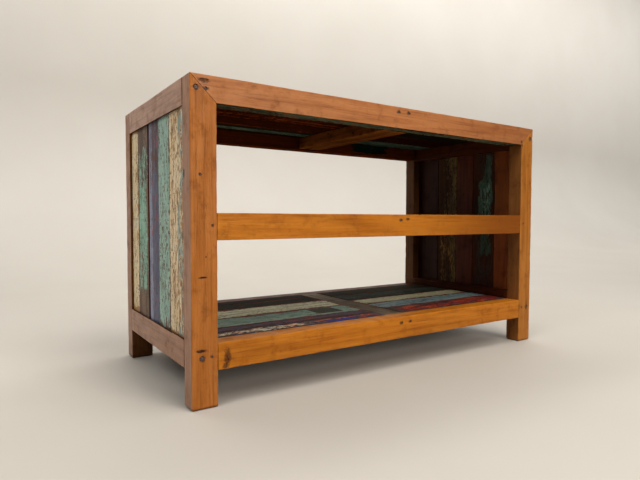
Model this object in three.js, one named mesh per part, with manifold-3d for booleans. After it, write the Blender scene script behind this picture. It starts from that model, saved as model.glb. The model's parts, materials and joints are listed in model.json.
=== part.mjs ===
// An open bathroom vanity stand in reclaimed boat timber: four posts, three
// joined frames (top, middle shelf, bottom shelf), planked sides and boarded
// shelves. Everything is tenoned, mitred, housed or rebated as a joiner would
// do it. Millimetres, +Z up, front towards -Y, origin on the floor at the centre.

import * as THREE from 'three';
import { mergeVertices } from 'three/addons/utils/BufferGeometryUtils.js';
import Module from 'manifold-3d';

const wasm = await Module();
wasm.setup();

// ---------------------------------------------------------------------------
// Driving dimensions
// ---------------------------------------------------------------------------

const overallWidth = 1000;
const overallDepth = 460;
const overallHeight = 600;

const postWidth = 50; // across the front
const frameDepth = 40; // front to back of the posts and of the front and back rails
const footChamfer = 3;

const legClearance = 68; // floor to the underside of the bottom frame
const lowerRailHeight = 50;
const middleRailHeight = 50;
const topRailHeight = 48;
const topBackRailHeight = 52;
const middleShelfTop = 356;

const sideBottomRailHeight = 55;
const sideBottomRailLip = 17; // how far its inner side stands above its outer side
const sideTopRailHeight = 50;
const sideTopRailLip = 6; // how far its inner side hangs below its outer side
const sideRailChamfer = 3;

const crossRailOffset = 16; // the cross rails stand a little right of centre
const crossRailWidth = 72;
const crossRailHeight = 48;

const boardThickness = 18; // top and shelf boards
const boardBearing = 10; // how far a board end rests on its rebate
const boardHousing = 8; // how far a board end enters the bottom side rail

const plankThickness = 20; // side planks
const plankRecess = 5; // outer face of the frame to the face of the planks
const plankGroove = 8; // how far the planks enter the posts and side rails

const tenonThickness = 12;
const tenonLength = 22;
const tenonSetback = 6; // outer face to the front and back rails' tenons
const tenonShoulder = 8;
const mitreTenonHeight = 16;
const sideTenonInset = 8;
const sideTenonThickness = 14;
const sideTenonLength = 14;
const crossTenonWidth = 28;
const crossTenonLength = 10;

const nailRadius = 4.7;
const nailLength = 18;
const nailSides = 20;

const fitGap = 0.3; // clearance in every joint
const boardGap = 0.6; // between neighbouring boards

// ---------------------------------------------------------------------------
// Places worked out from the dimensions
// ---------------------------------------------------------------------------

const LEFT = -1;
const RIGHT = 1;
const FRONT = -1;
const BACK = 1;

const bottomShelfTop = legClearance + lowerRailHeight;
const sideBottomRailTop = legClearance + sideBottomRailHeight;
const sideTopRailBottom = overallHeight - sideTopRailHeight;
const topRailBottom = overallHeight - topRailHeight;
const topBackRailBottom = overallHeight - topBackRailHeight;
const middleRailBottom = middleShelfTop - middleRailHeight;
const plankInnerFace = plankRecess + plankThickness;
const innerHalfDepth = overallDepth / 2 - frameDepth;
const rebateDepth = boardThickness + fitGap;
const crossHalfWidth = crossRailWidth / 2;
const crossHalfTop = crossHalfWidth - boardBearing;
const mitreSlope = topRailHeight / postWidth;
const mitreGap = 1.5 * fitGap; // measured across the front, so the slanted gap is about fitGap

// ---------------------------------------------------------------------------
// Solids
// ---------------------------------------------------------------------------

function solidOf(geometry) {
  const plain = geometry.clone();
  plain.deleteAttribute('normal');
  plain.deleteAttribute('uv');
  const merged = mergeVertices(plain, 1e-4);
  return new wasm.Manifold(new wasm.Mesh({
    numProp: 3,
    vertProperties: merged.attributes.position.array,
    triVerts: new Uint32Array(merged.index.array),
  }));
}

function geometryOf(solid) {
  const mesh = solid.getMesh();
  const geometry = new THREE.BufferGeometry();
  geometry.setAttribute('position', new THREE.BufferAttribute(mesh.vertProperties, 3));
  geometry.setIndex(new THREE.BufferAttribute(mesh.triVerts, 1));
  const flat = geometry.toNonIndexed();
  flat.computeVertexNormals();
  return flat;
}

function solidBox(box) {
  const size = box.getSize(new THREE.Vector3());
  const centre = box.getCenter(new THREE.Vector3());
  const geometry = new THREE.BoxGeometry(size.x, size.y, size.z);
  return solidOf(geometry.translate(centre.x, centre.y, centre.z));
}

// A box given by its limits along X, Y and Z.
function spanBox(x, y, z) {
  const ends = [0, 1].map((i) => new THREE.Vector3(x[i], y[i], z[i]));
  return new THREE.Box3().setFromPoints(ends);
}

// A box in one corner of the stand: x is measured in from the left or right
// face, y in from the front or back face.
function cornerBox(side, end, x, y, z) {
  const worldX = x.map((inset) => side * (overallWidth / 2 - inset));
  const worldY = y.map((inset) => end * (overallDepth / 2 - inset));
  return spanBox(worldX, worldY, z);
}

// An outline of [x, z] points pushed along Y from one place to another.
function extrudeAlongY(outline, fromY, toY) {
  const shape = new THREE.Shape(outline.map(([x, z]) => new THREE.Vector2(x, z)));
  const geometry = new THREE.ExtrudeGeometry(shape, {
    depth: toY - fromY,
    bevelEnabled: false,
  });
  return solidOf(geometry.rotateX(Math.PI / 2).translate(0, toY, 0));
}

// The same for an outline whose x is measured in from the left or right face.
function extrudeSideProfile(side, outline, halfLength) {
  const world = outline.map(([inset, z]) => [side * (overallWidth / 2 - inset), z]);
  return extrudeAlongY(world, -halfLength, halfLength);
}

function cutFor(solid, boxes) {
  return boxes.reduce(
    (left, box) => left.subtract(solidBox(box.clone().expandByScalar(fitGap))),
    solid,
  );
}

function joinWith(solid, boxes) {
  return boxes.reduce((whole, box) => whole.add(solidBox(box)), solid);
}

// ---------------------------------------------------------------------------
// Materials
// ---------------------------------------------------------------------------

function matte(color, roughness = 0.6) {
  return new THREE.MeshStandardMaterial({ color, roughness, metalness: 0 });
}

const finishes = {
  frame: matte(0xb06a2c, 0.45),
  inner: matte(0x5a2f18, 0.6),
  cream: matte(0xd8c391),
  yellow: matte(0xc9ad6a),
  teal: matte(0x6fa79a),
  green: matte(0x5f9187),
  slate: matte(0x66708a),
  blue: matte(0x7d99a0),
  dark: matte(0x2f3a36),
  olive: matte(0x6a5a2c),
  red: matte(0x7c2a1c),
  mixed: matte(0x4a3f4c),
  brown: matte(0x5b3a26),
  iron: new THREE.MeshStandardMaterial({ color: 0x4a4642, roughness: 0.55, metalness: 0.8 }),
};

const stand = new THREE.Group();
stand.name = 'vanity_stand';

function addPiece(name, solid, finish) {
  const mesh = new THREE.Mesh(geometryOf(solid), finishes[finish]);
  mesh.name = name;
  stand.add(mesh);
}

// ---------------------------------------------------------------------------
// Joints: each function gives the box a tenon fills, used by both pieces
// ---------------------------------------------------------------------------

const intoRail = 5; // how far a tenon's box runs back into its own rail

function railTenon(side, end, bottom, top) {
  const x = [postWidth - tenonLength, postWidth + intoRail];
  const y = [tenonSetback, tenonSetback + tenonThickness];
  return cornerBox(side, end, x, y, [bottom + tenonShoulder, top - tenonShoulder]);
}

function mitreTenon(side) {
  const x = [postWidth - tenonLength, postWidth + intoRail];
  const y = [tenonSetback, tenonSetback + tenonThickness];
  const bottom = topRailBottom + tenonSetback;
  return cornerBox(side, FRONT, x, y, [bottom, bottom + mitreTenonHeight]);
}

function sideTenon(side, end, bottom, top) {
  const x = [sideTenonInset, sideTenonInset + sideTenonThickness];
  const y = [frameDepth - sideTenonLength, frameDepth + intoRail];
  return cornerBox(side, end, x, y, [bottom, top]);
}

function sideBottomTenon(side, end) {
  const top = sideBottomRailTop - plankGroove - 2 * fitGap;
  return sideTenon(side, end, legClearance + tenonShoulder, top);
}

// The top side tenon stays inside the post, below the slant of the mitre.
function sideTopTenon(side, end) {
  const mitreAtTenon = overallHeight - mitreSlope * (sideTenonInset + sideTenonThickness);
  const bottom = sideTopRailBottom + plankGroove + 2 * fitGap;
  return sideTenon(side, end, bottom, mitreAtTenon - tenonShoulder / 2);
}

function crossTenon(end, top) {
  const half = crossTenonWidth / 2;
  const x = [crossRailOffset - half, crossRailOffset + half];
  const insets = [frameDepth - crossTenonLength, frameDepth + intoRail];
  const y = insets.map((inset) => end * (overallDepth / 2 - inset));
  const bottom = top - crossRailHeight + tenonShoulder;
  return spanBox(x, y, [bottom, top - boardThickness - tenonShoulder]);
}

// ---------------------------------------------------------------------------
// Posts and nails
// ---------------------------------------------------------------------------

const nails = [
  { name: 'nail_front_left_top', side: LEFT, inset: 12, height: overallHeight - 24 },
  { name: 'nail_front_right_top', side: RIGHT, inset: 12, height: overallHeight - 29 },
  { name: 'nail_front_left_bottom', side: LEFT, inset: 20, height: legClearance + 25 },
  { name: 'nail_front_right_bottom', side: RIGHT, inset: 16, height: legClearance + 28 },
];

// A round nail lying along Y with its head flush with the front face.
function nailSolid(nail, radius, length) {
  const geometry = new THREE.CylinderGeometry(radius, radius, length, nailSides);
  const x = nail.side * (overallWidth / 2 - nail.inset);
  return solidOf(geometry.translate(x, (length - overallDepth) / 2, nail.height));
}

function nailHole(nail) {
  const extra = 1;
  const hole = nailSolid(nail, nailRadius + fitGap, nailLength + fitGap + extra);
  return hole.translate([0, -extra, 0]);
}

// The post's foot has a small chamfer all round; the square top is trimmed off level.
function footedPost(side, end) {
  const halfX = postWidth / 2;
  const halfY = frameDepth / 2;
  const outline = [[-halfX, -halfY], [halfX, -halfY], [halfX, halfY], [-halfX, halfY]];
  const shape = new THREE.Shape(outline.map(([x, y]) => new THREE.Vector2(x, y)));
  const geometry = new THREE.ExtrudeGeometry(shape, {
    depth: overallHeight,
    bevelEnabled: true,
    bevelSegments: 1,
    bevelThickness: footChamfer,
    bevelSize: footChamfer,
    bevelOffset: -footChamfer,
  });
  const x = side * (overallWidth / 2 - halfX);
  const y = end * (overallDepth / 2 - halfY);
  const full = solidOf(geometry.translate(x, y, footChamfer));
  const level = cornerBox(side, end, [0, postWidth], [0, frameDepth], [0, overallHeight]);
  return full.intersect(solidBox(level));
}

// Everything of the post that lies above the slant of the mitre.
function mitreWaste(side) {
  const over = 1;
  const reach = postWidth + over;
  const outline = [
    [0, overallHeight],
    [reach, overallHeight - mitreSlope * reach],
    [reach, overallHeight + over],
    [0, overallHeight + over],
  ];
  return extrudeSideProfile(side, outline, overallDepth);
}

function post(side, end) {
  const groove = cornerBox(
    side,
    end,
    [plankRecess, plankInnerFace],
    [frameDepth - plankGroove, frameDepth + 1],
    [sideBottomRailTop - plankGroove, sideTopRailBottom + plankGroove],
  );
  const mortises = [
    groove,
    railTenon(side, end, legClearance, bottomShelfTop),
    railTenon(side, end, middleRailBottom, middleShelfTop),
    sideBottomTenon(side, end),
    sideTopTenon(side, end),
  ];
  const body = cutFor(footedPost(side, end), mortises);
  if (end === BACK) return cutFor(body, [railTenon(side, end, topBackRailBottom, overallHeight)]);
  const mitred = cutFor(body, [mitreTenon(side)]).subtract(mitreWaste(side));
  return nails
    .filter((nail) => nail.side === side)
    .reduce((left, nail) => left.subtract(nailHole(nail)), mitred);
}

addPiece('front_left_post', post(LEFT, FRONT), 'frame');
addPiece('front_right_post', post(RIGHT, FRONT), 'frame');
addPiece('back_left_post', post(LEFT, BACK), 'frame');
addPiece('back_right_post', post(RIGHT, BACK), 'frame');
for (const nail of nails) addPiece(nail.name, nailSolid(nail, nailRadius, nailLength), 'iron');

// ---------------------------------------------------------------------------
// Front and back rails
// ---------------------------------------------------------------------------

// A rail between two posts, with a tenon on each end and a mortise for the cross rail.
function longRail(end, bottom, top) {
  const halfLength = overallWidth / 2 - postWidth - fitGap;
  const y = [end * (overallDepth / 2 - frameDepth), end * (overallDepth / 2)];
  const body = solidBox(spanBox([-halfLength, halfLength], y, [bottom, top]));
  const tenons = [LEFT, RIGHT].map((side) => railTenon(side, end, bottom, top));
  return cutFor(joinWith(body, tenons), [crossTenon(end, top)]);
}

// The top front rail runs the full width and is mitred down into both posts.
function mitredRail() {
  const halfTop = overallWidth / 2 - mitreGap;
  const halfBottom = overallWidth / 2 - postWidth - mitreGap;
  const outline = [
    [-halfTop, overallHeight],
    [-halfBottom, topRailBottom],
    [halfBottom, topRailBottom],
    [halfTop, overallHeight],
  ];
  const front = -overallDepth / 2;
  const body = extrudeAlongY(outline, front, front + frameDepth);
  const jointed = joinWith(body, [mitreTenon(LEFT), mitreTenon(RIGHT)]);
  return cutFor(jointed, [crossTenon(FRONT, overallHeight)]);
}

addPiece('top_front_rail', mitredRail(), 'frame');
addPiece('top_back_rail', longRail(BACK, topBackRailBottom, overallHeight), 'inner');
addPiece('middle_front_rail', longRail(FRONT, middleRailBottom, middleShelfTop), 'frame');
addPiece('middle_back_rail', longRail(BACK, middleRailBottom, middleShelfTop), 'inner');
addPiece('bottom_front_rail', longRail(FRONT, legClearance, bottomShelfTop), 'frame');
addPiece('bottom_back_rail', longRail(BACK, legClearance, bottomShelfTop), 'inner');

// ---------------------------------------------------------------------------
// Cross rails: front to back under the middle of each level, rebated for the boards
// ---------------------------------------------------------------------------

function crossRail(top) {
  const bottom = top - crossRailHeight;
  const ledge = top - rebateDepth;
  const outline = [
    [-crossHalfWidth, bottom],
    [crossHalfWidth, bottom],
    [crossHalfWidth, ledge],
    [crossHalfTop, ledge],
    [crossHalfTop, top],
    [-crossHalfTop, top],
    [-crossHalfTop, ledge],
    [-crossHalfWidth, ledge],
  ].map(([x, z]) => [x + crossRailOffset, z]);
  const halfLength = innerHalfDepth - fitGap;
  const body = extrudeAlongY(outline, -halfLength, halfLength);
  return joinWith(body, [crossTenon(FRONT, top), crossTenon(BACK, top)]);
}

addPiece('top_cross_rail', crossRail(overallHeight), 'frame');
addPiece('middle_cross_rail', crossRail(middleShelfTop), 'inner');
addPiece('bottom_cross_rail', crossRail(bottomShelfTop), 'brown');

// ---------------------------------------------------------------------------
// Side rails and the bearers of the middle shelf
// ---------------------------------------------------------------------------

// Grooved on top for the planks and housed on the inside for the shelf boards.
function sideBottomRail(side) {
  const housingFloor = bottomShelfTop - rebateDepth;
  const housingTop = bottomShelfTop + fitGap;
  const grooveFloor = sideBottomRailTop - plankGroove;
  const lip = sideBottomRailTop + sideBottomRailLip;
  const outline = [
    [0, legClearance + sideRailChamfer],
    [sideRailChamfer, legClearance],
    [postWidth, legClearance],
    [postWidth, housingFloor],
    [postWidth - boardHousing, housingFloor],
    [postWidth - boardHousing, housingTop],
    [postWidth, housingTop],
    [postWidth, lip],
    [plankInnerFace + fitGap, lip],
    [plankInnerFace + fitGap, grooveFloor],
    [plankRecess - fitGap, grooveFloor],
    [plankRecess - fitGap, sideBottomRailTop],
    [0, sideBottomRailTop],
  ];
  const body = extrudeSideProfile(side, outline, innerHalfDepth - fitGap);
  return joinWith(body, [sideBottomTenon(side, FRONT), sideBottomTenon(side, BACK)]);
}

// Grooved underneath for the planks and rebated at the inner edge for the top boards.
function sideTopRail(side) {
  const grooveTop = sideTopRailBottom + plankGroove;
  const lip = sideTopRailBottom - sideTopRailLip;
  const ledge = overallHeight - rebateDepth;
  const outline = [
    [0, sideTopRailBottom],
    [plankRecess - fitGap, sideTopRailBottom],
    [plankRecess - fitGap, grooveTop],
    [plankInnerFace + fitGap, grooveTop],
    [plankInnerFace + fitGap, lip],
    [postWidth, lip],
    [postWidth, ledge],
    [postWidth - boardBearing, ledge],
    [postWidth - boardBearing, overallHeight],
    [0, overallHeight],
  ];
  const body = extrudeSideProfile(side, outline, innerHalfDepth - fitGap);
  return joinWith(body, [sideTopTenon(side, FRONT), sideTopTenon(side, BACK)]);
}

// A bearer fills the recess between the planks and the inner faces of the posts.
function shelfBearer(side) {
  const ledge = middleShelfTop - rebateDepth;
  const outline = [
    [plankInnerFace + fitGap, middleRailBottom],
    [postWidth, middleRailBottom],
    [postWidth, ledge],
    [postWidth - boardBearing, ledge],
    [postWidth - boardBearing, middleShelfTop],
    [plankInnerFace + fitGap, middleShelfTop],
  ];
  return extrudeSideProfile(side, outline, innerHalfDepth - fitGap);
}

for (const [side, label] of [[LEFT, 'left'], [RIGHT, 'right']]) {
  addPiece(`top_${label}_rail`, sideTopRail(side), 'frame');
  addPiece(`bottom_${label}_rail`, sideBottomRail(side), 'frame');
  addPiece(`middle_${label}_bearer`, shelfBearer(side), 'inner');
}

// ---------------------------------------------------------------------------
// Boards and planks
// ---------------------------------------------------------------------------

// Shares a length out among boards in the given proportions, front to back.
function shareOut(parts, from, to) {
  const total = parts.reduce((sum, part) => sum + part, 0);
  let edge = from;
  return parts.map((part) => {
    const start = edge;
    edge += ((to - from) * part) / total;
    return [start, edge];
  });
}

// Side planks, front to back: width in proportion and finish.
const sidePlanks = {
  left: [[95, 'cream'], [74, 'green'], [78, 'slate'], [79, 'teal'], [54, 'yellow']],
  right: [[67, 'brown'], [79, 'green'], [66, 'red'], [78, 'olive'], [90, 'brown']],
};

function addSidePlanks(side, label) {
  const planks = sidePlanks[label];
  const inGroove = plankGroove - fitGap;
  const z = [sideBottomRailTop - inGroove, sideTopRailBottom + inGroove];
  const x = [plankRecess, plankInnerFace].map((inset) => side * (overallWidth / 2 - inset));
  const widths = planks.map(([width]) => width);
  const edges = shareOut(widths, -innerHalfDepth, innerHalfDepth);
  edges.forEach(([front, back], i) => {
    const start = i === 0 ? front - inGroove : front + boardGap / 2;
    const stop = i === edges.length - 1 ? back + inGroove : back - boardGap / 2;
    const solid = solidBox(spanBox(x, [start, stop], z));
    addPiece(`${label}_plank_${i + 1}`, solid, planks[i][1]);
  });
}

addSidePlanks(LEFT, 'left');
addSidePlanks(RIGHT, 'right');

// Boards of the three levels, front to back, in the bays left and right of the cross rail.
const levels = [
  {
    name: 'top',
    top: overallHeight,
    bearing: boardBearing,
    left: [[100, 'slate'], [107, 'olive'], [93, 'red'], [80, 'teal']],
    right: [[100, 'cream'], [100, 'green'], [97, 'brown'], [83, 'teal']],
  },
  {
    name: 'middle',
    top: middleShelfTop,
    bearing: boardBearing,
    left: [[130, 'slate'], [120, 'cream'], [130, 'brown']],
    right: [[124, 'teal'], [136, 'brown'], [120, 'green']],
  },
  {
    name: 'bottom',
    top: bottomShelfTop,
    bearing: boardHousing,
    left: [[44, 'mixed'], [39, 'slate'], [86, 'teal'], [95, 'cream'], [67, 'olive'], [51, 'dark']],
    right: [[74, 'red'], [72, 'blue'], [72, 'cream'], [86, 'green'], [78, 'dark']],
  },
];

function addBay(level, label, x) {
  const widths = level[label].map(([width]) => width);
  const z = [level.top - boardThickness, level.top];
  const edges = shareOut(widths, -innerHalfDepth, innerHalfDepth);
  edges.forEach(([front, back], i) => {
    const y = [front + boardGap / 2, back - boardGap / 2];
    const solid = solidBox(spanBox(x, y, z));
    addPiece(`${level.name}_${label}_board_${i + 1}`, solid, level[label][i][1]);
  });
}

for (const level of levels) {
  const outerEnd = overallWidth / 2 - postWidth + level.bearing - fitGap;
  const leftOfRail = crossRailOffset - crossHalfTop - fitGap;
  const rightOfRail = crossRailOffset + crossHalfTop + fitGap;
  addBay(level, 'left', [-outerEnd, leftOfRail]);
  addBay(level, 'right', [rightOfRail, outerEnd]);
}

export default stand;
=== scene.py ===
# %% [markdown]
# # An open vanity stand in reclaimed boat timber
#
# The stand is a joiner's piece: four oiled teak posts, three frames tenoned between them, and
# panels of old boat planks that still carry layers of flaking paint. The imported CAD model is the
# frame of this lesson. It gives every piece its exact box, and each cell below dresses some of
# those boxes as real timber: slightly uneven faces, rubbed arrises, grain, knots and old paint.

import json
import math

import bmesh
import bpy
import numpy as np
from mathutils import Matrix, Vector


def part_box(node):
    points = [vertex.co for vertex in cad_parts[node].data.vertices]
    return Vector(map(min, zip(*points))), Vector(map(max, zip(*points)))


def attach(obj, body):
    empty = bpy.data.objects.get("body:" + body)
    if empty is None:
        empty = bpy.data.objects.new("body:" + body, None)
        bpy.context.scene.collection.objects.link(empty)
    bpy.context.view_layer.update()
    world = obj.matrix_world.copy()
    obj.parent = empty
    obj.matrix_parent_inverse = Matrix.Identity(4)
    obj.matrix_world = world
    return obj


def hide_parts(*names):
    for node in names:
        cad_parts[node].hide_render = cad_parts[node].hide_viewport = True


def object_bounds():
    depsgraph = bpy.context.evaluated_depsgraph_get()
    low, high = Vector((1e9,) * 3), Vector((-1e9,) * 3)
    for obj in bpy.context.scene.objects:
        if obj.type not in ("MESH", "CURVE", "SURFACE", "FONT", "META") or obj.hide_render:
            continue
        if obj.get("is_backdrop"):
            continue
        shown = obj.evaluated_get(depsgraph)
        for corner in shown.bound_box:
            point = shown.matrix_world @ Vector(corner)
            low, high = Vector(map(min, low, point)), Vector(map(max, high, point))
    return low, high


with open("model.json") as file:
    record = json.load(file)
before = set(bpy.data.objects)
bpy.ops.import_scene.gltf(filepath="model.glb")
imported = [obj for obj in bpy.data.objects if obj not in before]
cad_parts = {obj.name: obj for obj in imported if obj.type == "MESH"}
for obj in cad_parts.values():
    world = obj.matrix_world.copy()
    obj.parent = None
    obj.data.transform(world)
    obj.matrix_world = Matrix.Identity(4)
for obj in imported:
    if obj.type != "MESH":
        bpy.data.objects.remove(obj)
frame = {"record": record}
cad_low, cad_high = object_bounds()
print("CAD box", [round(c, 4) for c in (*cad_low, *cad_high)])

# %% [markdown]
# ## Where things are
#
# The visible length of a rail stops at the shoulders of its tenons, because the tenons are hidden
# in the posts. So the shoulders are read from the neighbours' boxes, not from the rail's own box.

# %% Shoulders and levels
JOINT_GAP = 0.0003

left_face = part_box("front_left_post")[0].x
right_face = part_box("front_right_post")[1].x
front_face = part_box("front_left_post")[0].y
post_inner_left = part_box("front_left_post")[1].x
post_inner_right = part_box("front_right_post")[0].x
post_width = post_inner_left - left_face
top_level = cad_high.z
bottom_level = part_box("bottom_front_rail")[1].z

between_posts = (post_inner_left + JOINT_GAP, post_inner_right - JOINT_GAP)
between_rails = (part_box("front_left_post")[1].y + JOINT_GAP,
                 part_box("back_left_post")[0].y - JOINT_GAP)
print("between the posts", between_posts, "between the rails", between_rails)

# %% [markdown]
# ## Timber as geometry
#
# A planed and worn timber is nearly a prism, but never quite one: its faces wander by a few
# tenths of a millimetre and its arrises are rubbed round, more in some places than in others.
# A bevel modifier would round every arris by the same amount, so the mesh is made here ring by
# ring instead. Each ring is the timber's section with its own corner radii. The rings only ever
# move inwards, so the piece stays in its CAD box. The mesh also carries an "arris" value, from 1
# on the arris to 0 on the face, which the finishes use to wear paint and oil away.

# %% Smooth noise for shaping
WAVES = 5


def wander(rng, along, across, wavelengths):
    """Smooth noise from 0 to 1: a few random waves over two coordinates."""
    total = np.zeros(np.broadcast(along, across).shape)
    for _ in range(WAVES):
        length = rng.uniform(*wavelengths)
        slope = rng.uniform(-0.6, 0.6)
        total += np.sin(2 * math.pi * (along + slope * across) / length + rng.uniform(0, 6.3))
    return 0.5 + 0.5 * np.tanh(total / WAVES * 1.6)


# %% Rings of a section
ARC_STEPS = 3  # steps round each arris
HOLD = 0.0016  # a last point this close to the arris keeps the face flat
FACE_STEP = 0.014
WEAR_REACH = 0.004  # how far wear fades in from an arris


def section_rings(outline, radii):
    """Points of every ring, and how near each point is to an arris: radii is rings by corners."""
    count = len(outline)
    starts, arcs, ends = [], [], []
    for i, corner in enumerate(outline):
        before = corner - outline[i - 1]
        after = outline[(i + 1) % count] - corner
        before, after = before / np.linalg.norm(before), after / np.linalg.norm(after)
        start = corner - before * radii[:, i : i + 1]
        end = corner + after * radii[:, i : i + 1]
        t = np.linspace(0, 1, ARC_STEPS + 1)[None, :, None]
        start3, end3 = start[:, None, :], end[:, None, :]
        arcs.append((1 - t) ** 2 * start3 + 2 * t * (1 - t) * corner + t**2 * end3)
        starts.append(start)
        ends.append(end)
    points, nearness = [], []
    for i in range(count):
        points.append(arcs[i])
        nearness.append(np.ones(ARC_STEPS + 1))
        following = starts[(i + 1) % count]
        length = np.linalg.norm(outline[(i + 1) % count] - outline[i])
        if length < 4 * HOLD:
            continue
        hold = HOLD / length
        inner = max(1, round(length / FACE_STEP))
        t = np.concatenate(([hold], np.linspace(0, 1, inner + 1)[1:-1], [1 - hold]))
        straight = ends[i][:, None, :] * (1 - t)[None, :, None]
        points.append(straight + following[:, None, :] * t[None, :, None])
        nearness.append(np.exp(-np.minimum(t, 1 - t) * length / WEAR_REACH))
    return np.concatenate(points, axis=1), np.concatenate(nearness)


# %% A timber from its section
AXES = {"X": (0, 1, 2), "Y": (1, 0, 2), "Z": (2, 0, 1)}  # the grain's axis, then the section's two
RING_STEP = 0.012
WEAR_WAVES = (0.05, 0.35)  # lengths of the waves in wear, dents and hollows, in metres
DENT_WAVES = (0.018, 0.05)
HOLLOW_WAVES = (0.07, 0.4)
CORNER_SHIFT = 0.31  # keeps neighbouring arrises from wearing alike
ROUND_SPAN = 0.4  # how far the noise runs in one turn round the section
TIMBER_CREASE = math.radians(50)  # sharper edges than this are drawn sharp
CARVED_CREASE = math.radians(40)


def polygon_area(outline):
    rolled = np.roll(outline, -1, axis=0)
    return 0.5 * np.sum(outline[:, 0] * rolled[:, 1] - rolled[:, 0] * outline[:, 1])


def add_object(name, data):
    piece = bpy.data.objects.new(name, data)
    bpy.context.scene.collection.objects.link(piece)
    return piece


def timber(name, grain, outline, span, seed, arris=0.0010, rub=1.6, uneven=0.0003,
           end_round=0.0006, crown=None, cut=None, foot=None):
    """A worn timber along grain: outline holds its section, span its ends.

    crown = (axis, side, depth) rounds one face over, foot is a wider bevel round the first end,
    and cut is a function that slants the ends."""
    rng = np.random.default_rng(seed)
    outline = np.array(outline, float)
    if polygon_area(outline) < 0:
        outline = outline[::-1]
    middle = (outline.min(axis=0) + outline.max(axis=0)) / 2
    rings = max(2, round((span[1] - span[0]) / RING_STEP)) + 1
    start_round = foot or end_round
    along = np.linspace(span[0] + start_round, span[1] - end_round, rings)
    corners = np.arange(len(outline))[None, :] * CORNER_SHIFT
    worn = wander(rng, along[:, None], corners, WEAR_WAVES)
    dents = wander(rng, along[:, None], corners, DENT_WAVES) ** 6
    # never sharp, rounder where worn, and bruised here and there
    radii = np.broadcast_to(arris, len(outline)) * (0.6 + rub * worn**2 + 1.5 * rub * dents)
    points, nearness = section_rings(outline, radii)
    around = np.linspace(0, ROUND_SPAN, points.shape[1])[None, :]
    sink = uneven * wander(rng, along[:, None], around, HOLLOW_WAVES)
    inward = middle - points
    inward = np.sign(inward) * np.minimum(np.abs(inward), 1)
    edge_distance = np.abs(points - middle) - (outline.max(axis=0) - outline.min(axis=0)) / 2
    onto = (np.abs(edge_distance) < HOLD / 2).astype(float)
    points = points + inward / np.maximum(np.abs(inward), 1e-6) * onto * sink[..., None]
    if crown is not None:
        axis, side, depth = crown
        other = 1 - axis
        half = (outline[:, other].max() - outline[:, other].min()) / 2
        bow = ((points[..., other] - middle[other]) / half) ** 2 * depth
        facing = (points[..., axis] - middle[axis]) * side > 0
        points[..., axis] -= side * np.where(facing, bow, 0)
    half_size = np.ptp(outline, axis=0) / 2
    first = middle + (points[0] - middle) * (1 - start_round / half_size)
    last = middle + (points[-1] - middle) * (1 - end_round / half_size)
    points = np.concatenate(([first], points, [last]))
    along = np.concatenate(([span[0]], along, [span[1]]))
    u, a, b = AXES[grain]
    spots = np.zeros((*points.shape[:2], 3))
    spots[..., u] = along[:, None]
    spots[..., a] = points[..., 0]
    spots[..., b] = points[..., 1]
    if cut is not None:
        spots = cut(spots)
    return mesh_of_rings(name, spots, nearness)


def mesh_of_rings(name, spots, nearness):
    """Joins rings of points into a closed mesh with capped ends."""
    rings, around = spots.shape[:2]
    index = np.arange(rings * around).reshape(rings, around)
    nxt = np.roll(index, -1, axis=1)
    quads = np.stack([index[:-1], nxt[:-1], nxt[1:], index[1:]], axis=-1).reshape(-1, 4)
    faces = [*quads.tolist(), index[0][::-1].tolist(), index[-1].tolist()]
    mesh = bpy.data.meshes.new(name)
    mesh.from_pydata(spots.reshape(-1, 3).tolist(), [], faces)
    worn = mesh.attributes.new("arris", "FLOAT", "POINT")
    at_end = np.zeros((rings, 1))
    at_end[[0, 1, -2, -1]] = 1
    worn.data.foreach_set("value", np.maximum(nearness[None, :], at_end).ravel())
    shape = bmesh.new()
    shape.from_mesh(mesh)
    bmesh.ops.recalc_face_normals(shape, faces=shape.faces)
    shape.to_mesh(mesh)
    shape.free()
    mesh.shade_smooth()
    mesh.set_sharp_from_angle(angle=TIMBER_CREASE)
    return add_object(name, mesh)


# %% [markdown]
# ## Pits, nail holes and splits
#
# Old nails left holes and sunken heads, and knots opened into short splits. They are cut into the
# timber for real, with a tool shaped like a shallow, uneven dish, so that light falls into them.

# %% Cut dishes into a timber
DISH_POINTS = 14


def dish(shape, rng, centre, inward, radii, depth, turn):
    """Adds a dish-shaped tool: inward points into the wood, radii are its half sizes."""
    inward = Vector(inward)
    side = Vector((0, 0, 1)).cross(inward).normalized()
    up = inward.cross(side)
    along = side * math.cos(turn) + up * math.sin(turn)
    across = up * math.cos(turn) - side * math.sin(turn)
    phase = rng.uniform(0, 6.3)
    rings = []
    for reach, share in ((-0.001, 1.05), (0.0, 1.0), (depth * 0.7, 0.85), (depth, 0.55)):
        ring = []
        for k in range(DISH_POINTS):
            angle = 2 * math.pi * k / DISH_POINTS
            size = share * (1 + 0.10 * math.sin(3 * angle + phase))
            spot = Vector(centre) + inward * reach
            spot += along * (radii[0] * size * math.cos(angle))
            spot += across * (radii[1] * size * math.sin(angle))
            ring.append(shape.verts.new(spot))
        rings.append(ring)
    for near, far in zip(rings, rings[1:]):
        for k in range(DISH_POINTS):
            shape.faces.new((near[k], near[k - 1], far[k - 1], far[k]))
    shape.faces.new(rings[0])
    shape.faces.new(rings[-1][::-1])


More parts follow.
